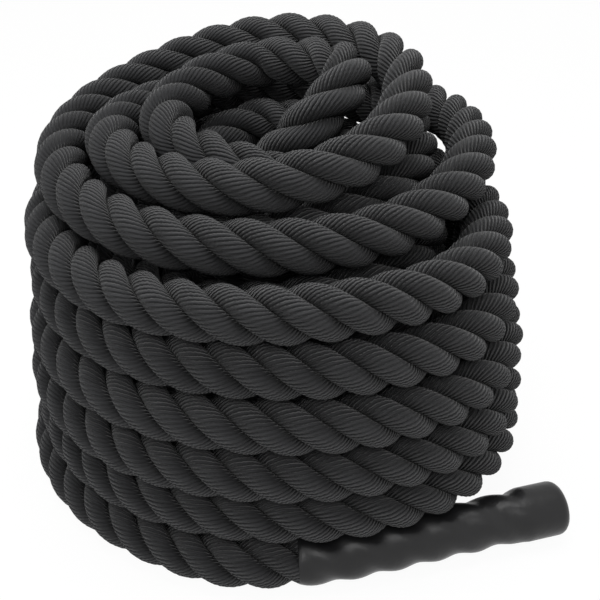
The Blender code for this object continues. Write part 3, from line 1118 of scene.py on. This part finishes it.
class BattleRope:
    """The coiled rope: its strands, its two grips and the whippings inside them."""

    def __init__(self) -> None:
        """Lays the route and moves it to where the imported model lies."""
        self.size = RopeSize()
        self.grip_size = GripSize()
        self.route = Route(self.size, self.grip_size.axis_height(self.size))
        self.front = self.grip("front")
        self.offset = self.offset_to_frame()
        self.route.move(self.offset)

    def grip(self, name: str) -> Grip:
        """Sets out one of the grips.

        Args:
            name: front or rear.

        Returns:
            The grip.
        """
        route = self.route
        mouth, end = (route.front_mouth, 0.0) if name == "front" else (route.rear_mouth, route.length)
        return Grip(name, route, self.grip_size, mouth, end)

    def offset_to_frame(self) -> Points:
        """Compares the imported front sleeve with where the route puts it.

        Returns:
            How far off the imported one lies, along the floor.
        """
        size = self.grip_size
        distance, angle = np.meshgrid(
            np.linspace(0.0, self.front.length, size.measured_rings),
            np.linspace(0.0, FULL_TURN, size.measured_sides, endpoint=False),
        )
        outside = self.front.surface(distance.ravel(), angle.ravel(), np.ones(distance.size))
        middle = (outside.min(axis=0) + outside.max(axis=0)) / 2.0
        low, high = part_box("front_grip_sleeve")
        offset = (np.array(low) + np.array(high)) / 2.0 - middle
        offset[2] = 0.0
        return offset

    def build(self) -> list[bpy.types.Object]:
        """Returns:
            The pieces.
        """
        yarn = YarnFinish().material()
        strands = []
        for strand in range(self.size.strands):
            number = strand + 1
            piece = StrandSweep().build(f"rope_strand_{number}", self.route, strand)
            piece.data.materials.append(yarn)
            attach(piece, BODY)
            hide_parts("rope_coil", f"front_strand_end_{number}", f"rear_strand_end_{number}")
            strands.append(piece)
        film = FilmFinish().material()
        sleeves = []
        for name in ("front", "rear"):
            piece = self.grip(name).build()
            piece.data.materials.append(film)
            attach(piece, BODY)
            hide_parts(f"{name}_grip_sleeve")
            sleeves.append(piece)
        whippings = self.dress_whippings()
        path = self.route.centre[self.route.roped()].tolist()
        return [*strands, *sleeves, *whippings]

    def dress_whippings(self) -> list[bpy.types.Object]:
        """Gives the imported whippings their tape.

        Returns:
            The whippings.
        """
        tape = TapeFinish().material()
        found = []
        for name in ("front_whipping", "rear_whipping"):
            piece = bpy.data.objects[name]
            piece.data.materials.clear()
            piece.data.materials.append(tape)
            found.append(piece)
        return found


# The studio


@dataclass(frozen=True)
class Lamp:
    """A square soft box that faces the rope."""

    name: str
    place: tuple[float, float, float]
    width: float
    watts: float
    aim: tuple[float, float, float] = (0.0, 0.0, 0.14)

    def build(self) -> None:
        """Adds the lamp."""
        data = bpy.data.lights.new(self.name, "AREA")
        data.shape = "SQUARE"
        data.size = self.width
        data.energy = self.watts
        made = bpy.data.objects.new(self.name, data)
        towards = Vector(self.aim) - Vector(self.place)
        turn = towards.to_track_quat("-Z", "Y").to_matrix().to_4x4()
        made.matrix_world = Matrix.Translation(self.place) @ turn
        bpy.context.scene.collection.objects.link(made)


@dataclass(frozen=True)
class PhotoCamera:
    """The photograph's viewpoint: distances in rope diameters, angles in degrees."""

    target: tuple[float, float, float] = (0.603, -0.442, 3.419)
    distance: float = 19.32
    elevation: float = 33.39
    roll: float = -0.93
    focal_pixels: float = 938.9
    image_pixels: float = 600.0
    sensor: float = 36.0

    def build(self, diameter: float, offset: Points) -> None:
        """Adds the camera and makes it the scene's.

        Args:
            diameter: The rope's diameter, in metres.
            offset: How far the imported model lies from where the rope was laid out.
        """
        elevation = math.radians(self.elevation)
        back = Vector((0.0, -math.cos(elevation), math.sin(elevation)))
        place = (Vector(self.target) + back * self.distance) * diameter + Vector(offset)
        tilt = Matrix.Rotation(math.pi / 2.0 - elevation, 4, "X")
        data = bpy.data.cameras.new("photo_camera")
        data.sensor_width = self.sensor
        data.lens = self.focal_pixels / self.image_pixels * self.sensor
        made = bpy.data.objects.new("photo_camera", data)
        roll = Matrix.Rotation(math.radians(self.roll), 4, "Z")
        made.matrix_world = Matrix.Translation(place) @ tilt @ roll
        bpy.context.scene.collection.objects.link(made)
        bpy.context.scene.camera = made


@dataclass(frozen=True)
class Studio:
    """A plain pale floor, a white background, soft boxes and the camera.

    The floor is whitened to the camera from the second radius of pile_shade outwards, and not at all
    inside the first, under the pile.
    """

    floor_width: float = 6.0
    floor_cells: int = 2
    floor_colour: tuple[float, ...] = (0.75, 0.75, 0.75, 1.0)
    floor_roughness: float = 0.9
    white: tuple[float, ...] = (1.0, 1.0, 1.0, 1.0)
    floor_white_share: float = 0.9
    floor_glow: float = 1.05
    pile_shade: tuple[float, float] = (0.155, 0.172)
    world_grey: tuple[float, ...] = (0.9, 0.9, 0.9, 1.0)
    world_strength: float = 0.40
    lamps: tuple[Lamp, ...] = (
        Lamp("key_box", (-0.1, -1.15, 1.35), 0.7, 5.0),
        Lamp("top_box", (-0.05, 0.1, 1.7), 0.9, 12.3),
        Lamp("side_box", (-1.1, -0.6, 0.8), 0.8, 1.6),
    )

    def build(self, diameter: float, offset: Points) -> None:
        """Builds the floor, the background, the lamps and the camera.

        Args:
            diameter: The rope's diameter, in metres.
            offset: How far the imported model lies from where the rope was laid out.
        """
        self.lay_floor()
        self.light_background()
        for lamp in self.lamps:
            lamp.build()
        PhotoCamera().build(diameter, offset)
        bpy.context.scene.view_settings.view_transform = "Standard"

    def lay_floor(self) -> None:
        """Lays the floor: pale to the lamps, nearly white to the camera, with the rope's shadow."""
        deselect_all()
        bpy.ops.mesh.primitive_grid_add(
            x_subdivisions=self.floor_cells, y_subdivisions=self.floor_cells, size=self.floor_width
        )
        floor = bpy.context.object
        floor.name = "studio_floor"
        board = MaterialBoard("studio_floor")
        board.finish(base_color=self.floor_colour, roughness=self.floor_roughness)
        glow = board.node("ShaderNodeEmission", {}, {"Color": self.white, "Strength": self.floor_glow})
        inner, outer = self.pile_shade
        reach = board.node("ShaderNodeVectorMath", {"operation": "LENGTH"}, {0: board.place()}, "Value")
        outside = ((reach - inner) * (1.0 / (outer - inner))).with_math("MAXIMUM", 0.0).capped()
        whitened = board.seen_directly() * outside * self.floor_white_share
        both = board.mix_shaders(whitened, Wire(board, board.shader.outputs[0]), glow)
        board.feed(board.tree.nodes["Material Output"].inputs["Surface"], both)
        floor.data.materials.append(board.material)

    def light_background(self) -> None:
        """Makes the world white to the camera and a plain grey light to the rope."""
        world = bpy.data.worlds.new("studio_world")
        bpy.context.scene.world = world
        world.use_nodes = True
        board = NodeBoard(world.node_tree)
        ambient = board.tree.nodes["Background"]
        board.feed(ambient.inputs["Color"], self.world_grey)
        board.feed(ambient.inputs["Strength"], self.world_strength)
        backdrop = board.node("ShaderNodeBackground", {}, {"Color": self.white})
        both = board.mix_shaders(board.seen_directly(), Wire(board, ambient.outputs[0]), backdrop)
        board.feed(board.tree.nodes["World Output"].inputs["Surface"], both)


def main() -> None:
    """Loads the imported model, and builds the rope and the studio."""
    logging.basicConfig(level=logging.INFO, format="%(message)s")
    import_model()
    rope = BattleRope()
    for piece in rope.build():
        LOG.info("%s: %d faces", piece.name, len(piece.data.polygons))
    Studio().build(rope.size.diameter, rope.offset)


if __name__ == "__main__":
    main()
